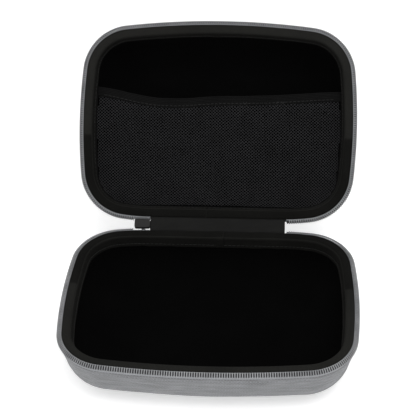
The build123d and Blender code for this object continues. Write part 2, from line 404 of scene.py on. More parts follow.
def knit_cloth(name, dark, light, pitch, sheen, gloss, bump=0.00016, inside=None):
    """Brushed warp knit: fine wales along v with a soft, uneven nap. Past inside (v, in millimetres) it is
    darker: painted shade for the inner face, which gets less light."""
    m = Nodes(name, Roughness=0.95, Sheen_Weight=sheen, Sheen_Roughness=0.4)
    m.bsdf.inputs["Specular IOR Level"].default_value = gloss
    m.bsdf.inputs["Sheen Tint"].default_value = (0.55, 0.53, 0.5, 1)
    u, v, _ = m.split(m.uv())
    a = m.math("DIVIDE", u, pitch * MM)
    b = m.math("DIVIDE", v, pitch * 0.8 * MM)
    wale = m.math("ABSOLUTE", m.math("SINE", m.math("MULTIPLY", a, math.pi)))
    shift = m.math("MULTIPLY", m.math("ABSOLUTE", m.math("SUBTRACT", m.math("FRACT", a), 0.5)), 1.6)
    loop = m.math("ABSOLUTE", m.math("SINE", m.math("MULTIPLY", m.math("ADD", b, shift), math.pi)))
    height = m.math("MULTIPLY", m.math("POWER", wale, 0.7), m.math("ADD", m.math("MULTIPLY", loop, 0.6), 0.4))
    coords = m.object_coords()
    nap = m.noise(coords, 900.0, 3.0, 0.65)
    tone = m.noise(coords, 35.0, 3.0)
    colour = m.mix(m.ramp(height, (0.1, 0.0), (0.9, 1.0)), dark, light)
    colour = m.mix(m.ramp(nap, (0.4, 0.0), (0.75, 0.5)), colour, light)
    colour = m.mix(m.ramp(tone, (0.35, 0.0), (0.8, 0.45)), colour, dark)
    # Painted shade: past inside, the colour darkens towards 0.3 of itself, for the inner face that gets less
    # light.
    if inside:
        depth = m.math("DIVIDE", v, 0.02)
        painted_shade = m.ramp(depth, (inside[0] * MM / 0.02, 0.0), (inside[1] * MM / 0.02, 0.8))
        colour = m.mix(painted_shade, colour, m.mix(1.0, colour, (0.3, 0.3, 0.3, 1), "MULTIPLY"))
    normal = m.bump(nap, 0.00010, 0.6, m.bump(height, bump, 0.8))
    return m.done(colour, None, normal)


def rib_cloth(name, dark, light, pitch, along="u", rough=0.85, sheen=0.03, gloss=0.1):
    """Narrow woven tape: ribs across or along it, with fine picks between them."""
    m = Nodes(name, Roughness=rough, Sheen_Weight=sheen, Sheen_Roughness=0.4)
    m.bsdf.inputs["Specular IOR Level"].default_value = gloss
    u, v, _ = m.split(m.uv())
    if along == "v":
        u, v = v, u
    height, over = weave_height(m, u, v, pitch, pitch * 0.55)
    rib = m.math("ABSOLUTE", m.math("SINE", m.math("MULTIPLY", m.math("DIVIDE", u, pitch * MM), math.pi)))
    tall = m.math("ADD", m.math("MULTIPLY", rib, 0.7), m.math("MULTIPLY", height, 0.3))
    tone = m.noise(m.object_coords(), 60.0, 3.0)
    colour = m.mix(m.ramp(tall, (0.15, 0.0), (0.8, 1.0)), dark, light)
    colour = m.mix(m.ramp(tone, (0.4, 0.0), (0.8, 0.35)), colour, dark)
    return m.done(colour, None, m.bump(tall, 0.00013, 0.9))


def thread_yarn(name, dark, light):
    """Plied sewing thread: the twist runs slantwise round it."""
    m = Nodes(name, Roughness=0.6, Sheen_Weight=0.04)
    m.bsdf.inputs["Specular IOR Level"].default_value = 0.2
    u, v, _ = m.split(m.uv())
    slant = m.math("ADD", m.math("DIVIDE", u, 0.5 * MM), m.math("DIVIDE", v, 0.9 * MM))
    ply = m.math("ABSOLUTE", m.math("SINE", m.math("MULTIPLY", slant, math.pi)))
    colour = m.mix(ply, dark, light)
    return m.done(colour, None, m.bump(ply, 0.00005, 0.9))


def coil_plastic():
    m = Nodes("coil_nylon", Roughness=0.42)
    m.bsdf.inputs["Specular IOR Level"].default_value = 0.45
    coords = m.object_coords()
    tone = m.noise(coords, 90.0, 3.0)
    fine = m.noise(coords, 1800.0, 2.0)
    colour = m.mix(m.ramp(tone, (0.3, 0.0), (0.75, 1.0)), srgb(116, 117, 119), srgb(150, 151, 153))
    rough = m.ramp(fine, (0.3, 0.34), (0.7, 0.55))
    return m.done(colour, rough, m.bump(fine, 0.00002, 0.5))


def paint_metal():
    m = Nodes("slider_paint", Metallic=0.0, Roughness=0.5)
    m.bsdf.inputs["Specular IOR Level"].default_value = 0.25
    coords = m.object_coords()
    orange_peel = m.noise(coords, 1400.0, 2.0)
    tone = m.noise(coords, 160.0, 3.0)
    scuff = m.noise(coords, 420.0, 4.0, 0.7, stretch=(1.0, 6.0, 6.0))
    colour = m.mix(m.ramp(tone, (0.3, 0.0), (0.8, 1.0)), srgb(15, 15, 14), srgb(24, 23, 22))
    colour = m.mix(m.ramp(scuff, (0.66, 0.0), (0.74, 0.4)), colour, srgb(70, 69, 67))
    rough = m.ramp(tone, (0.3, 0.42), (0.7, 0.58))
    return m.done(colour, rough, m.bump(orange_peel, 0.00003, 0.5))


def foam_block():
    m = Nodes("foam", Roughness=0.9)
    cell = m.add("TexVoronoi")
    m.put(m.object_coords(), cell.inputs["Vector"])
    cell.inputs["Scale"].default_value = 1600.0
    colour = m.mix(cell.outputs["Distance"], srgb(60, 60, 62), srgb(34, 34, 36))
    return m.done(colour, None, m.bump(cell.outputs["Distance"], 0.0001, 0.6))


mat_shell = shell_cloth()
mat_lining = knit_cloth("lining_knit", srgb(3, 3, 3), srgb(9, 9, 9), 0.6, 0.004, 0.015)
# The binding's inner face, from 8.6 to 10.6 mm along v and past, is darkened: painted shade.
mat_binding = knit_cloth(
    "binding_knit", srgb(18, 18, 17), srgb(38, 38, 36), 0.8, 0.03, 0.04, inside=(8.6, 10.6)
)
mat_tape = rib_cloth("zip_tape_cloth", srgb(100, 101, 103), srgb(150, 152, 155), 0.7, sheen=0.08, gloss=0.25)
mat_cord = rib_cloth("coil_cord", srgb(34, 34, 35), srgb(64, 64, 66), 0.5)
mat_hinge = rib_cloth("hinge_grosgrain", srgb(12, 12, 12), srgb(28, 28, 27), 0.9, along="v")
mat_hem = rib_cloth(
    "hem_elastic_ribs", srgb(3, 3, 3), srgb(17, 17, 17), 1.1, along="v", sheen=0.01, gloss=0.05
)
mat_edge = rib_cloth(
    "pocket_tape_cloth", srgb(5, 5, 5), srgb(15, 15, 15), 0.8, along="v", sheen=0.01, gloss=0.04
)
mat_net = rib_cloth("net_yarn", srgb(22, 22, 23), srgb(60, 60, 62), 0.25, sheen=0.03, gloss=0.15)
mat_gray_thread = thread_yarn("gray_thread_ply", srgb(112, 114, 117), srgb(160, 162, 165))
mat_black_thread = thread_yarn("black_thread_ply", srgb(9, 9, 9), srgb(34, 34, 33))
mat_coil = coil_plastic()
mat_metal = paint_metal()
mat_foam = foam_block()


def finish_piece(obj, material, slot, body=None, stands_for=()):
    obj.data.materials.clear()
    obj.data.materials.append(material)
    if body:
        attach(obj, body)
    if stands_for:
        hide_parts(*stands_for)
    return obj


# ---------------------------------------------------------------- profiles of the moulded halves
def tub_line(inset, top, steps=12, round_steps=14):
    """(t, d) of a moulded surface from depth top down its wall and round to the flat bottom."""
    radius = BOTTOM_RADIUS - inset
    bottom = DEPTH - inset
    centre_d = bottom - radius
    tangent_d = centre_d + radius * math.sin(DRAFT)
    centre_t = float(wall(inset, tangent_d)) + radius * math.cos(DRAFT)
    d_wall = np.linspace(top, tangent_d, steps, endpoint=False)
    turn = np.linspace(DRAFT, math.pi / 2, round_steps)
    t = np.concatenate([wall(inset, d_wall), centre_t - radius * np.cos(turn)])
    d = np.concatenate([d_wall, centre_d + radius * np.sin(turn)])
    return t, d


s_ring = np.linspace(0, ROUND, 300, endpoint=False)
s_dense = np.linspace(0, ROUND, 420, endpoint=False)


def cornerness(s):
    """1 in the rounded corners, 0 on the straights."""
    q = np.mod(s, ROUND)
    q = np.where(q > HALF_ROUND, ROUND - q, q)
    out = np.zeros_like(q)
    for k in (2, 4):
        lo, hi = arc_ends[k], arc_ends[k + 1]
        out = np.maximum(out, smooth(q, lo - 4, lo + 12) * (1 - smooth(q, hi - 12, hi + 4)))
    return out


def build_cover(half, seed):
    """Fabric skin: folded edge under the zip tape, a sewn groove, a soft swell below it, then the wall."""
    t_out, d_out = tub_line(0.0, 15.0, 10, 16)
    roll = [
        (2.0, 6.7), (1.95, 6.0), (1.75, 5.6), (1.45, 5.42), (1.18, 5.5), (1.02, 5.8), (0.98, 6.3),
        (1.06, 6.9), (1.24, 7.5), (1.5, 7.95), (1.66, 8.22), (1.64, 8.5), (1.64, 8.9), (1.76, 9.6),
        (1.94, 10.4), (2.16, 11.3), (2.42, 12.3), (2.68, 13.2), (2.93, 14.1),
    ]
    t_in, d_in = tub_line(COVER_IN, 6.9, 10, 12)
    t = np.concatenate([t_in[::-1], [a for a, _ in roll], t_out])
    d = np.concatenate([d_in[::-1], [b for _, b in roll], d_out])
    t = np.broadcast_to(t, (len(s_dense), len(t))).copy()
    d = np.broadcast_to(d, t.shape).copy()
    k0 = len(t_in)
    dd = d[:, k0:]
    ss = s_dense[:, None]
    swell = 0.2 * waves(ss, dd, 70.0, seed) + 0.09 * waves(ss * 0.4, dd * 2.4, 16.0, seed + 1)
    keep = smooth(dd, 8.6, 12.0) * (1 - smooth(dd, 38.0, 41.5))
    t[:, k0:] -= swell * keep
    return swept(f"{half}_cover", half, s_dense, t, d, floor=True, sharp=0.0)


def build_foam(half):
    t_in, d_in = tub_line(FOAM_IN, 1.9, 8, 10)
    t_out, d_out = tub_line(COVER_IN + 0.05, 7.2, 8, 10)
    rim = [(6.3, 1.75), (4.6, 1.65), (3.0, 1.75), (2.75, 2.2), (2.75, 5.0), (2.75, 6.6)]
    t = np.concatenate([t_out[::-1], [a for a, _ in rim][::-1], t_in])
    d = np.concatenate([d_out[::-1], [b for _, b in rim][::-1], d_in])
    return swept(f"{half}_foam", half, s_ring, t, d, floor=True, sharp=0.0)


def build_lining(half, seed):
    t_in, d_in = tub_line(LINING_IN, 2.2, 18, 18)
    t_out, d_out = tub_line(FOAM_IN, 2.2, 8, 12)
    t = np.concatenate([t_out[::-1], [7.2], t_in])
    d = np.concatenate([d_out[::-1], [1.9], d_in])
    t = np.broadcast_to(t, (len(s_dense), len(t))).copy()
    d = np.broadcast_to(d, t.shape).copy()
    k0 = len(t_out) + 1
    dd, ss = d[:, k0:], s_dense[:, None]
    corner = cornerness(s_dense)[:, None]
    pucker = np.sin(ss / 8.5 * 2 * math.pi / 1.15 + waves(ss, dd, 40.0, seed) * 1.4)
    fade = smooth(dd, 9.0, 13.0) * (1 - smooth(dd, 15.0, 32.0))
    t[:, k0:] += (0.22 * pucker * corner + 0.16 * waves(ss, dd, 55.0, seed + 3)) * fade
    t[:, k0:] += 0.35 * smooth(dd, 9.0, 10.4) * (1 - smooth(dd, 11.0, 15.0))
    return swept(f"{half}_lining_skin", half, s_dense, t, d, floor=True, sharp=0.0)


def build_binding(half, seed):
    """Cloth turned over the rim: a domed land, a soft inner edge, and a face down to its hemmed end."""
    pts = [
        (2.62, 3.4), (2.6, 2.2), (2.66, 1.5), (2.85, 1.05), (3.2, 0.78), (3.8, 0.64), (4.6, 0.58),
        (5.4, 0.56), (6.2, 0.58), (6.9, 0.64), (7.5, 0.78), (8.05, 1.02), (8.45, 1.38), (8.7, 1.9),
        (8.86, 2.6), (8.98, 3.4), (9.16, 4.3), (9.36, 5.2), (9.56, 6.1), (9.78, 6.9), (9.86, 7.45),
        (9.9, 7.75), (10.1, 8.2), (10.3, 8.8), (10.42, 9.3), (10.3, 9.62), (10.0, 9.66), (9.6, 9.5),
        (9.3, 9.0),
    ]
    back = [(8.7, 6.0), (8.0, 2.9), (7.6, 1.75), (6.0, 1.35), (4.6, 1.3), (3.5, 1.45), (3.2, 2.2), (3.2, 3.4)]
    t = np.array([a for a, _ in pts + back])
    d = np.array([b for _, b in pts + back])
    lap = s_at_hinge_x(LAP_X if half == "lid" else -LAP_X)
    s = np.unique(np.concatenate([s_dense, lap + np.linspace(-2.0, 2.0, 33)]))
    t = np.broadcast_to(t, (len(s), len(t))).copy()
    d = np.broadcast_to(d, t.shape).copy()
    ss = s[:, None]
    n = len(pts)
    land = np.exp(-(((t[:, :n] - 5.6) / 2.2) ** 2)) * (d[:, :n] < 2.5)
    d[:, :n] += 0.1 * waves(ss, t[:, :n] * 3, 22.0, seed) * land
    inner = smooth(d[:, :n], 2.0, 5.0) * (t[:, :n] > 8.0)
    stitch_pull = 0.06 * np.sin(ss / 3.1 * 2 * math.pi)
    t[:, :n] += inner * (0.16 * waves(ss, d[:, :n] * 2, 16.0, seed + 1) + stitch_pull)
    d[:, n - 6 : n - 1] += 0.18 * waves(ss, ss * 0, 13.0, seed + 2)
    # The ends of the binding lap on the hinge side: a step up, with a crease at its foot.
    away = ss - lap - 0.25 * np.sin(d[:, :n] * 0.7)
    step = 0.3 * smooth(away, 0.0, 0.35) * (1 - smooth(away, 5.0, 11.0)) - 0.45 * np.exp(-((away / 0.3) ** 2))
    rise = step * (t[:, :n] > 3.0) * (d[:, :n] < 9.0)
    d[:, :n] -= rise * (d[:, :n] < 2.2)
    t[:, :n] += rise * (d[:, :n] >= 2.2) * (t[:, :n] > 8.0)
    return swept(f"{half}_binding", half, s, t, d, sharp=0.0)


def build_tape(half):
    """Zip tape: up from the cover's edge, then in over the rim under the coil."""
    s = np.linspace(s_at_hinge_x(TAPE_LEFT), s_at_hinge_x(ZIP_RIGHT), 420)
    line = [
        (2.64, 0.98), (2.5, 0.78), (1.95, 1.4), (1.25, 2.12), (0.62, 2.68), (0.36, 3.0), (0.42, 3.5),
        (0.7, 4.3), (0.98, 5.1), (1.2, 5.8), (1.42, 6.3), (1.72, 6.3), (1.7, 5.6), (1.5, 4.8),
        (1.2, 4.0), (1.0, 3.4), (1.1, 3.0), (1.62, 2.5), (2.35, 1.75), (2.66, 1.3),
    ]
    t = np.array([a for a, _ in line])
    d = np.array([b for _, b in line])
    ripple = 0.08 * waves(s[:, None], s[:, None] * 0, 17.0, 31)
    t = t + ripple * smooth(d, 2.9, 3.6)[None] * (1 - smooth(d, 5.0, 5.8))[None]
    d = np.broadcast_to(d, t.shape)
    return swept(f"{half}_tape", half, s, t, d, closed_ring=False, sharp=0.0, weave=False)


# The coil leans in over the rim: its middle, and the way along and through it, as (inset, depth).
COIL_MIDDLE = np.array([0.76, 1.5])
COIL_ALONG = np.array([-0.77, 0.64])
COIL_THROUGH = np.array([-0.64, -0.77])


def build_coil(half):
    """Moulded coil: flattened turns of monofilament round a cord."""
    pitch, wire, steps = 1.6, 0.34, 16
    s0, s1 = s_at_hinge_x(COIL_LEFT) + 0.5, s_at_hinge_x(ZIP_RIGHT) - 0.5
    turns = int((s1 - s0) / pitch)
    k = np.arange(turns * steps + 1)
    theta = 2 * math.pi * k / steps
    part = (k % steps) / steps
    s = s0 + pitch * (k // steps + smooth(part, 0.5, 1.0))
    # The outer run (theta from 0 to pi) is the one that shows; it stands straight across the zip.
    along = 1.55 * np.sign(np.cos(theta)) * np.abs(np.cos(theta)) ** 0.6
    through = 0.44 * np.sign(np.sin(theta)) * np.abs(np.sin(theta)) ** 0.6
    t, d = (COIL_MIDDLE + along[:, None] * COIL_ALONG + through[:, None] * COIL_THROUGH).T
    p, n = outline(s)
    local = np.concatenate([p - t[:, None] * n, d[:, None]], -1)
    pts = place(half, local)
    ahead = np.stack([-n[:, 1], n[:, 0], np.zeros(len(s))], -1)
    ahead = place(half, ahead) - place(half, np.zeros(3))
    ahead /= np.linalg.norm(ahead, axis=1, keepdims=True)
    tangent = np.gradient(pts, axis=0)
    tangent /= np.linalg.norm(tangent, axis=1, keepdims=True)
    side = ahead - tangent * np.sum(ahead * tangent, 1, keepdims=True)
    side /= np.linalg.norm(side, axis=1, keepdims=True)
    up = np.cross(side, tangent)
    sides = 6
    turn = np.linspace(0, 2 * math.pi, sides, endpoint=False)
    head = 1.15 + 0.3 * smooth(-np.cos(theta), 0.5, 1.0)
    ring = wire * MM * (
        (head[:, None] * np.cos(turn)[None])[..., None] * side[:, None]
        + np.sin(turn)[None, :, None] * up[:, None]
    )
    verts = (pts[:, None] + ring).reshape(-1, 3)
    faces, ci, cj = grid_faces(len(pts), sides, False, True)
    faces = [tuple(f) for f in faces] + [tuple(r * sides + np.arange(sides)) for r in (0, len(pts) - 1)]
    uv = np.stack([s[np.minimum(ci, len(s) - 1)], cj * 0.3], -1).reshape(-1, 2) * MM
    uvs = list(uv) + [(0, 0)] * (2 * sides)
    coil = make(f"{half}_coil_wire", verts, faces, uvs, 0.0)
    s_core = np.linspace(s0 - 0.2, s1 + 0.2, 420)
    turn = np.linspace(0, 2 * math.pi, 10, endpoint=False)
    cord = (
        COIL_MIDDLE + 1.3 * np.cos(turn)[:, None] * COIL_ALONG
        + (0.3 * np.sin(turn) - 0.12)[:, None] * COIL_THROUGH
    )
    core = swept(
        f"{half}_coil_core", half, s_core, cord[:, 0], cord[:, 1], closed_ring=False, sharp=0.0, weave=False
    )
    return coil, core


def stitch_row(name, half, s0, s1, t, d, lift, pitch=3.0, gap=0.5, radius=0.19):
    """A row of lockstitches: each one a short thread that dips into the cloth at both ends. lift is the way
    out of the cloth, as (towards less inset, towards more depth)."""
    count = int(round((s1 - s0) / pitch))
    step = (s1 - s0) / count
    verts, faces, uvs = [], [], []
    sides, rings = 6, 7
    frac = np.linspace(0, 1, rings)
    for k in range(count):
        start = s0 + k * step + gap / 2
        s = start + frac * (step - gap)
        rise = radius * (1.15 * np.sin(math.pi * frac) ** 0.5 - 0.75)
        tt = t - lift[0] * rise
        dd = d + lift[1] * rise + 0.1 * np.sin(math.pi * (frac - 0.5))
        p, n = outline(s)
        centre = np.concatenate([p - tt[:, None] * n, dd[:, None]], -1)
        along = np.stack([-n[:, 1], n[:, 0], np.zeros(rings)], -1)
        out = np.concatenate([n * lift[0], np.full((rings, 1), lift[1])], -1)
        out /= np.linalg.norm(out, axis=1, keepdims=True)
        side = np.cross(along, out)
        turn = np.linspace(0, 2 * math.pi, sides, endpoint=False)
        size = radius * (0.55 + 0.45 * np.sin(math.pi * frac) ** 0.4)
        ring = centre[:, None] + size[:, None, None] * (
            np.cos(turn)[None, :, None] * side[:, None] + np.sin(turn)[None, :, None] * out[:, None]
        )
        base = len(verts)
        verts.extend(place(half, ring.reshape(-1, 3)))
        quads, ci, cj = grid_faces(rings, sides, False, True)
        faces.extend(tuple(base + f) for f in quads)
        uvs.extend(np.stack([(s - s0)[ci], cj * 0.2], -1).reshape(-1, 2) * MM)
        for r in (0, rings - 1):
            faces.append(tuple(base + r * sides + np.arange(sides)))
            uvs.extend([(0, 0)] * sides)
    return make(name, verts, faces, uvs, 0.0)


slots = {
    "cover": (mat_shell, "shell_fabric"),
    "foam": (mat_foam, "shell_foam"),
    "lining": (mat_lining, "lining_fabric"),
    "binding": (mat_binding, "binding_fabric"),
    "tape": (mat_tape, "zip_tape"),
    "coil": (mat_coil, "zip_coil"),
}

for half, seed in (("base", 11), ("lid", 47)):
    cover = build_cover(half, seed)
    finish_piece(cover, *slots["cover"], half, [f"{half}_outer_cover"])
    foam = build_foam(half)
    finish_piece(foam, *slots["foam"], half, [f"{half}_foam_shell"])
    lining = build_lining(half, seed + 5)
    finish_piece(lining, *slots["lining"], half, [f"{half}_lining"])
    binding = build_binding(half, seed + 9)
    finish_piece(binding, *slots["binding"], half, [f"{half}_edge_binding"])
    tape = build_tape(half)
    finish_piece(tape, *slots["tape"], half, [f"{half}_zip_tape"])
    coil, core = build_coil(half)
    finish_piece(coil, *slots["coil"], half, [f"{half}_zip_coil"])
    finish_piece(core, mat_cord, "zip_tape", half)
    seam = stitch_row(f"{half}_seam_stitches", half, 0, ROUND, 1.66, SEAM_DEPTH + 0.1, (1.0, 0.0))
    finish_piece(seam, mat_gray_thread, "gray_thread", half, [f"{half}_seam_thread"])
    inner = stitch_row(
        f"{half}_binding_stitches", half, 0, ROUND, 9.86 + 0.05, BINDING_SEAM, (-1.0, 0.0), pitch=3.1
    )
    finish_piece(inner, mat_black_thread, "black_thread", half, [f"{half}_binding_thread"])

# ---------------------------------------------------------------- hinge strips


def hinge_path(inset, turn_depth, foot, count):
    """(y, z) in millimetres along a hinge strip, from its foot on the base to its foot on the lid."""
    corners = []
    for half, depth in (("base", foot), ("base", turn_depth), ("lid", turn_depth), ("lid", foot)):
        local = np.array([0.0, hinge_y - float(wall(inset, depth)), depth])
        corners.append(place(half, local)[1:] / MM)
    corners = np.array(corners)
    # A smooth line through the corners: quadratic curves cut each turn.
    cut = 1.9
    line = [corners[0]]
    for k in (1, 2):
        back, on = corners[k - 1] - corners[k], corners[k + 1] - corners[k]
        a = corners[k] + back * min(0.5, cut / np.linalg.norm(back))
        b = corners[k] + on * min(0.45, cut / np.linalg.norm(on))
        for f in np.linspace(0, 1, 9):
            line.append((1 - f) ** 2 * a + 2 * f * (1 - f) * corners[k] + f * f * b)
    line.append(corners[3])
    line = np.array(line)
    run = np.concatenate([[0], np.cumsum(np.linalg.norm(np.diff(line, axis=0), axis=1))])
    at = np.linspace(0, run[-1], count)
    return np.stack([np.interp(at, run, line[:, k]) for k in (0, 1)], -1), at


# Soft wrinkles across the hinge cloth, as (x, half width, height), in millimetres.
STRIP_WRINKLES = ((-38.0, 2.4, 0.5), (-28.0, 2.2, 0.9), (-22.5, 1.8, 0.8), (9.0, 3.0, 0.6), (31.0, 2.6, 0.7))


def build_strip(name, left, inset, turn_depth, thick, seed, wrinkle):
    path, run = hinge_path(inset, turn_depth, 5.6, 34)
    x = np.linspace(left, STRIP_RIGHT, 160)
    tangent = np.gradient(path, axis=0)
    tangent /= np.linalg.norm(tangent, axis=1, keepdims=True)
    normal = np.stack([-tangent[:, 1], tangent[:, 0]], -1)
    middle = np.exp(-(((run - run[-1] / 2) / (run[-1] * 0.22)) ** 2))
    X, R = np.meshgrid(x, run, indexing="ij")
    lift = wrinkle * waves(X, R * 3.0, 26.0, seed) * middle[None]
    for centre, width, height in STRIP_WRINKLES:
        ridge = np.exp(-(((X - centre - 0.25 * R) / width) ** 2))
        lift = lift + wrinkle * height * 2 * ridge * middle[None]
    layers = []
    for side in (0.5, -0.5):
        yz = path[None] + normal[None] * (lift + side * thick)[..., None]
        layers.append(np.concatenate([X[..., None], yz], -1))
    top, bottom = layers
    loop = np.concatenate([top, bottom[:, ::-1]], 1)
    rows, cols = loop.shape[:2]
    faces, ci, cj = grid_faces(rows, cols, False, True)
    faces = [tuple(f) for f in faces] + [tuple(r * cols + np.arange(cols)) for r in (0, rows - 1)]
    run2 = np.concatenate([run, run[::-1], [run[0]]])
    uv = np.stack([x[np.minimum(ci, rows - 1)], run2[cj]], -1).reshape(-1, 2) * MM
    uvs = list(uv) + [(0, 0)] * (2 * cols)
    return make(name, loop.reshape(-1, 3) * MM, faces, uvs, 60.0), path, run


for name, left, inset, turn_depth, slot, wrinkle, seed in (
    ("hinge_outer", TUCK_LEFT, 1.3, 1.6, "hinge_fabric", 0.22, 5),
    ("hinge_inner", STRIP_LEFT, 2.1, 1.0, "lining_fabric", 0.3, 8),
):
    strip, path, run = build_strip(f"{name}_cloth", left, inset, turn_depth, 0.6, seed, wrinkle)
    finish_piece(strip, mat_hinge, slot, None, [f"{name}_strip"])
    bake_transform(strip)

# ---------------------------------------------------------------- mesh pocket
MESH_DEPTH = 11.2
HEM_WIDTH = 7.2
net_t = float(wall(BINDING_IN + 0.1, MESH_DEPTH))
edge_p, edge_n = outline(np.linspace(0, HALF_ROUND, 1200))
edge_line = edge_p - net_t * edge_n
net_bottom = hinge_y - net_t


def half_span(y):
    """Half width of the lid's inside at the net, at y."""
    side = edge_line[:, 0] < -20
    ys, xs = edge_line[side, 1], -edge_line[side, 0]
    order = np.argsort(ys)
    return np.interp(y, ys[order], xs[order])


def hem_y(x):
    """Y of the hem's free edge: it drops quickly from the left wall, and rises slowly to the right one."""
    x = np.asarray(x, float)
    rise = 2.4 * smooth(x, -34.0, 8.0) + 4.8 * smooth(x, 10.0, 110.0)
    return -18.6 - 8.4 * (1 - smooth(x, -96.0, -34.0)) ** 1.25 - rise


def simulate_net():
    """A coarse sheet of the net, fixed at the walls and the hem and a little longer than the gap it spans,
    left to sag under its weight. Returns its grid of points in millimetres."""
    nu, nv = 73, 34
    u = np.linspace(-1, 1, nu)
    v = np.linspace(0, 1, nv)
    U, V = np.meshgrid(u, v, indexing="ij")
    Y = hem_y(U * 85) + HEM_WIDTH - 1.6
    X = U * 85
    for _ in range(6):
        top = hem_y(X) + HEM_WIDTH - 1.6
        Y = top + V * (net_bottom - top)
        X = U * half_span(Y)
    D = np.full_like(X, MESH_DEPTH)
    local = np.stack([X, Y, D], -1)
    world = place("lid", local)
    faces, _, _ = grid_faces(nu, nv, False, False)
    sheet = make("net_sim", world.reshape(-1, 3), faces, None, 0.0, closed=False)
    group = sheet.vertex_groups.new(name="held")
    index = np.arange(nu * nv).reshape(nu, nv)
    held = set(index[0]) | set(index[-1]) | set(index[:, 0]) | set(index[:, -1])
    group.add([int(k) for k in held], 1.0, "REPLACE")
    cloth = sheet.modifiers.new("Cloth", "CLOTH")
    settings = cloth.settings
    settings.quality = 8
    settings.mass = 0.12
    settings.vertex_group_mass = "held"
    settings.tension_stiffness = 12.0
    settings.compression_stiffness = 6.0
    settings.shear_stiffness = 3.0
    settings.bending_stiffness = 0.02
    settings.air_damping = 2.0
    settings.shrink_min = -0.035
    settings.shrink_max = -0.035
    cloth.collision_settings.use_collision = False
    cloth.collision_settings.use_self_collision = False
    cloth.point_cache.frame_start = 1
    cloth.point_cache.frame_end = 60
    scene = bpy.context.scene
    scene.frame_start, scene.frame_end = 1, 60
    for f in range(1, 56):
        scene.frame_set(f)
    evaluated = sheet.evaluated_get(bpy.context.evaluated_depsgraph_get())
    out = np.array([vert.co for vert in evaluated.data.vertices], float).reshape(nu, nv, 3)
    bpy.data.objects.remove(sheet)
    scene.frame_set(1)
    return X, Y, world, out


net_x, net_y, net_flat, net_grid = simulate_net()


# Pleats that start at the hem, as (x, lean, half width, height, reach), in millimetres.
NET_FOLDS = (
    (-42.0, -0.10, 1.8, 1.9, 26.0), (-37.0, -0.06, 1.4, -0.8, 20.0), (-60.0, 0.2, 3.2, 0.6, 22.0),
    (-18.0, -0.25, 3.5, 0.7, 30.0), (2.0, 0.1, 2.6, 0.7, 24.0), (18.0, 0.18, 2.4, 0.9, 28.0),
    (31.0, 0.05, 2.4, 0.7, 22.0), (50.0, -0.15, 3.4, 0.6, 26.0), (70.0, -0.25, 3.4, 0.5, 20.0),
)


def net_surface(x, y):
    """Where the net is, in metres, over plan points in millimetres."""
    top = hem_y(x) + HEM_WIDTH - 1.6
    v = np.clip((y - top) / (net_bottom - top), 0, 1)
    u = np.clip(x / half_span(y), -1, 1)
    flat = place("lid", np.stack([x, y, np.full_like(x, MESH_DEPTH)], -1))
    if net_grid is None:
        return flat
    fold = np.zeros_like(x)
    for centre, lean_x, width, height, reach in NET_FOLDS:
        run = y - hem_y(x) - HEM_WIDTH
        fold += height * np.exp(-(((x - centre - lean_x * run) / width) ** 2)) * np.exp(-((run / reach) ** 2))
    fold *= smooth(y - hem_y(x) - HEM_WIDTH, -0.5, 5.0)
    flat = flat + (place("lid", np.array([0.0, 0.0, -1.0])) - place("lid", np.zeros(3))) * fold[..., None]
    shift = net_grid - net_flat
    nu, nv = shift.shape[:2]
    fu, fv = (u + 1) / 2 * (nu - 1), v * (nv - 1)
    iu, iv = np.clip(fu.astype(int), 0, nu - 2), np.clip(fv.astype(int), 0, nv - 2)
    a, b = (fu - iu)[..., None], (fv - iv)[..., None]
    move = (
        shift[iu, iv] * (1 - a) * (1 - b) + shift[iu + 1, iv] * a * (1 - b)
        + shift[iu, iv + 1] * (1 - a) * b + shift[iu + 1, iv + 1] * a * b
    )
    return flat + move


def build_net():
    """Knitted net: a lattice of diamonds, each strand solid."""
    px, py = 2.4, 2.15
    nx, ny = int(95 * 2 / px * 2) // 2, int(100 / py * 2)
    ids, plan, cells = {}, [], []

    def node(i, j):
        if (i, j) not in ids:
            ids[i, j] = len(plan)
            plan.append((i * px / 2, j * py / 2))
        return ids[i, j]

    j0 = int(-30 / py * 2)
    rows = np.arange(j0, j0 + ny + 20)
    for i in range(-nx, nx + 1):
        for j in rows:
            if (i + j) % 2 == 0:
                continue
            x, y = i * px / 2, j * py / 2
            lo = hem_y(np.array(x)) + HEM_WIDTH - 1.2
            if y < lo or y > net_bottom - py * 0.55:
                continue
            if abs(x) > float(half_span(y)) - px * 0.55:
                continue
            cells.append((node(i - 1, j), node(i, j - 1), node(i + 1, j), node(i, j + 1)))
    plan = np.array(plan)
    pts = net_surface(plan[:, 0], plan[:, 1])
    uvs = [plan[k] * MM for cell in cells for k in cell]
    net = make("pocket_net", pts, cells, uvs, 0.0, closed=False)
    wire = net.modifiers.new("Strands", "WIREFRAME")
    wire.thickness = 0.52 * MM
    wire.use_even_offset = False
    wire.use_replace = True
    wire.use_boundary = True
    evaluated = net.evaluated_get(bpy.context.evaluated_depsgraph_get())
    solid = bpy.data.meshes.new_from_object(evaluated)
    net.modifiers.clear()
    net.data = solid
    solid.shade_smooth()
    return net


net = build_net()
finish_piece(net, mat_net, "mesh_fabric", "lid", ["pocket_mesh"])


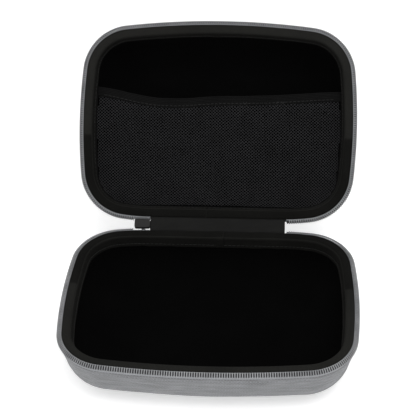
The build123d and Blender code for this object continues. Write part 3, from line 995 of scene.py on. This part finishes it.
def build_hem():
    """Folded elastic along the net's top edge, a flattened tube with a soft fold at its free edge."""
    rows = 150
    f = np.linspace(-1, 1, rows)
    y_mid = hem_y(f * 88) + HEM_WIDTH / 2
    x = f * (half_span(y_mid) + 0.6)
    turn = np.linspace(0, 2 * math.pi, 28, endpoint=False)
    across = np.sign(np.cos(turn)) * np.abs(np.cos(turn)) ** 0.55 * HEM_WIDTH / 2
    thick = np.sign(np.sin(turn)) * np.abs(np.sin(turn)) ** 0.9 * 0.55
    fat = 1.0 + 0.45 * smooth(-across, HEM_WIDTH / 2 - 1.4, HEM_WIDTH / 2 - 0.2)
    local = np.zeros((rows, len(turn), 3))
    edge = hem_y(x)
    wobble = 0.14 * waves(x, x * 0, 21.0, 77)
    local[..., 0] = x[:, None]
    local[..., 1] = edge[:, None] + HEM_WIDTH / 2 + across[None] + wobble[:, None]
    ripple = 0.10 * np.sin(x * 2 * math.pi / 2.6) * smooth(88 - np.abs(x), 0, 20)
    local[..., 2] = MESH_DEPTH - 0.1 + (thick * fat)[None]
    local[..., 2] += ripple[:, None] * (across[None] / HEM_WIDTH + 0.5)
    local[..., 2] += 0.25 * waves(x, x * 0, 45.0, 9)[:, None] + 0.5 * (1 - f**2)[:, None]
    faces, ci, cj = grid_faces(rows, len(turn), False, True)
    faces = [tuple(q) for q in faces] + [tuple(r * len(turn) + np.arange(len(turn))) for r in (0, rows - 1)]
    run = np.concatenate([[0], np.cumsum(np.hypot(np.diff(across), np.diff(thick)))])
    run = np.append(run, run[-1] + 0.4)
    uv = np.stack([x[np.minimum(ci, rows - 1)], run[cj]], -1).reshape(-1, 2) * MM
    uvs = list(uv) + [(0, 0)] * (2 * len(turn))
    return make("pocket_hem", place("lid", local.reshape(-1, 3)), faces, uvs, 0.0)


hem = build_hem()
finish_piece(hem, mat_hem, "hem_elastic", "lid", ["pocket_hem_band"])


def hem_stitches():
    parts_v, faces, uvs = [], [], []
    xs = np.arange(-84, 84, 3.0)
    frac = np.linspace(0, 1, 7)
    sides = 6
    for x0 in xs:
        x = x0 + frac * 2.5
        y = hem_y(x) + HEM_WIDTH - 1.55
        f = x / 88
        rise = 0.18 * (1.15 * np.sin(math.pi * frac) ** 0.5 - 0.7)
        d = MESH_DEPTH - 0.62 - rise + 0.5 * (1 - f**2) + 0.25 * waves(x, x * 0, 45.0, 9)
        centre = np.stack([x, y, d], -1)
        turn = np.linspace(0, 2 * math.pi, sides, endpoint=False)
        size = 0.2 * (0.5 + 0.5 * np.sin(math.pi * frac) ** 0.4)
        ring = centre[:, None] + size[:, None, None] * np.stack(
            [np.zeros(sides), np.cos(turn), np.sin(turn)], -1
        )[None]
        base = len(parts_v)
        parts_v.extend(place("lid", ring.reshape(-1, 3)))
        quads, ci, cj = grid_faces(len(frac), sides, False, True)
        faces.extend(tuple(base + q) for q in quads)
        uvs.extend(np.stack([x[ci], cj * 0.2], -1).reshape(-1, 2) * MM)
        for r in (0, len(frac) - 1):
            faces.append(tuple(base + r * sides + np.arange(sides)))
            uvs.extend([(0, 0)] * sides)
    return make("pocket_hem_stitches", parts_v, faces, uvs, 0.0)


hem_thread = hem_stitches()
finish_piece(hem_thread, mat_black_thread, "black_thread", "lid", ["pocket_hem_thread"])

# The tape that holds the net to the wall runs round the lid from one end of the hem to the other.
side_s = fine_s[(fine_s < HALF_ROUND) & (fine_p[:, 1] > -22)]
tape_s = np.concatenate([-side_s[::-1], side_s[1:]])
edge_tape = swept(
    "pocket_edge_binding", "lid", tape_s[::4],
    np.array([9.3, 9.9, 10.5, 10.95, 11.05, 10.9, 10.2, 9.6]),
    np.array([9.75, 9.8, 10.0, 10.6, 11.6, 12.5, 12.7, 12.4]),
    closed_ring=False, sharp=0.0, weave=False,
)
finish_piece(edge_tape, mat_edge, "binding_fabric", "lid", ["pocket_edge_tape"])

# ---------------------------------------------------------------- slider and pull: cast, with eased edges
for node in ("zip_slider_body", "zip_pull_tab"):
    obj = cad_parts[node]
    obj.data.materials.clear()
    obj.data.materials.append(mat_metal)
    obj.modifiers.new("Weld", "WELD").merge_threshold = 0.01 * MM
    edge = obj.modifiers.new("Edge", "BEVEL")
    edge.width = 0.22 * MM
    edge.segments = 3
    edge.limit_method = "ANGLE"
    edge.angle_limit = math.radians(40)
    edge.harden_normals = True

# ---------------------------------------------------------------- floor, light and camera
bpy.ops.mesh.primitive_plane_add(size=6.0, location=(0, 0, 0))
floor = bpy.context.object
floor.name = "floor"
ground = Nodes("floor_paper", Roughness=0.9, Emission_Strength=0.4)
ground.bsdf.inputs["Emission Color"].default_value = (1, 1, 1, 1)
grain = ground.noise(ground.object_coords(), 300.0, 3.0)
paper = ground.mix(grain, (0.90, 0.90, 0.90, 1), (0.93, 0.93, 0.93, 1))
floor.data.materials.append(ground.done(paper, None, ground.bump(grain, 0.0001, 0.2)))

bpy.context.scene.view_settings.view_transform = "Standard"
world = bpy.data.worlds.new("studio")
bpy.context.scene.world = world
world.use_nodes = True
world.node_tree.nodes["Background"].inputs["Color"].default_value = (1, 1, 1, 1)
world.node_tree.nodes["Background"].inputs["Strength"].default_value = 0.8


def softbox(name, at, aim, size, power):
    data = bpy.data.lights.new(name, "AREA")
    data.shape = "RECTANGLE"
    data.size, data.size_y = size
    data.energy = power
    lamp = bpy.data.objects.new(name, data)
    bpy.context.scene.collection.objects.link(lamp)
    lamp.location = at
    lamp.rotation_euler = (Vector(aim) - Vector(at)).to_track_quat("-Z", "Y").to_euler()


softbox("key", (0.25, -0.45, 1.5), (0, 0.06, 0.05), (1.1, 0.9), 11.0)
softbox("front", (0.1, -1.5, 0.5), (0, 0.0, 0.03), (1.6, 0.6), 2.2)

CAM_AZ, CAM_EL, CAM_ROLL = math.radians(4.011), math.radians(38.623), math.radians(-1.34)
CAM_DIST, CAM_LENS = 0.9369, 110.74
target = Vector((-6.382, 93.944, 42.0)) * MM
back = Vector((math.sin(CAM_AZ) * math.cos(CAM_EL), -math.cos(CAM_AZ) * math.cos(CAM_EL), math.sin(CAM_EL)))
right = Vector((math.cos(CAM_AZ), math.sin(CAM_AZ), 0))
up = back.cross(right)
right2 = right * math.cos(CAM_ROLL) + up * math.sin(CAM_ROLL)
up2 = back.cross(right2)
camera_data = bpy.data.cameras.new("camera")
camera_data.lens = CAM_LENS
camera_data.sensor_width = 36.0
camera = bpy.data.objects.new("camera", camera_data)
bpy.context.scene.collection.objects.link(camera)
turn = Matrix((right2, up2, back)).transposed().to_4x4()
camera.matrix_world = Matrix.Translation(target + back * CAM_DIST) @ turn
bpy.context.scene.camera = camera
